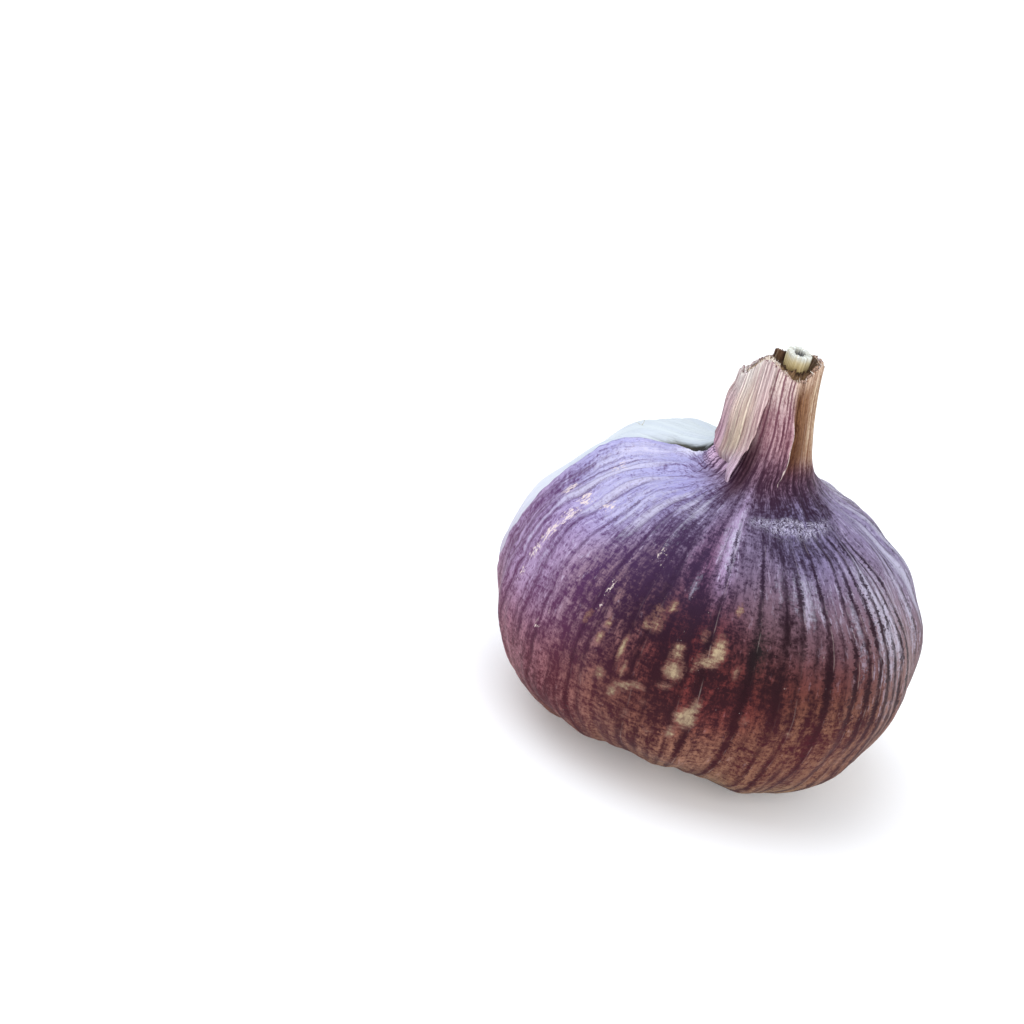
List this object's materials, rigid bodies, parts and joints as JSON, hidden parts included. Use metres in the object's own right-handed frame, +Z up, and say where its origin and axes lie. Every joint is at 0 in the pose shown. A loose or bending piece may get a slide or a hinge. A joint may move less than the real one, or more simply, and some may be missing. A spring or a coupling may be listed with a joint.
{
  "type": "garlic bulb",
  "caption": "Whole purple-striped garlic bulb with a cut hard neck, a torn papery skin over white wrapped cloves, and a corky root plate underneath.",
  "frame": {"origin": "on the floor plane, under the centre of the whole bulb's box", "axes": "+Z up along the bulb's axis from the root plate to the cut neck, -Y the front the picture looks at, +X to its right"},
  "size_m": [0.0658, 0.0642, 0.0641],
  "materials": {
    "purple_skin": "thin papery skin, satin",
    "inner_skin": "smooth white inner skin, satin",
    "dry_leaf": "ribbed dry leaf, matte",
    "stalk": "pale dried stalk, matte",
    "cork": "corky root plate, matte"
  },
  "bodies": {
    "root": {"outer_wrapper": "purple_skin", "inner_bulb": "inner_skin", "neck_sheath": "dry_leaf", "scape": "stalk", "root_plate": "cork"}
  },
  "joints": []
}
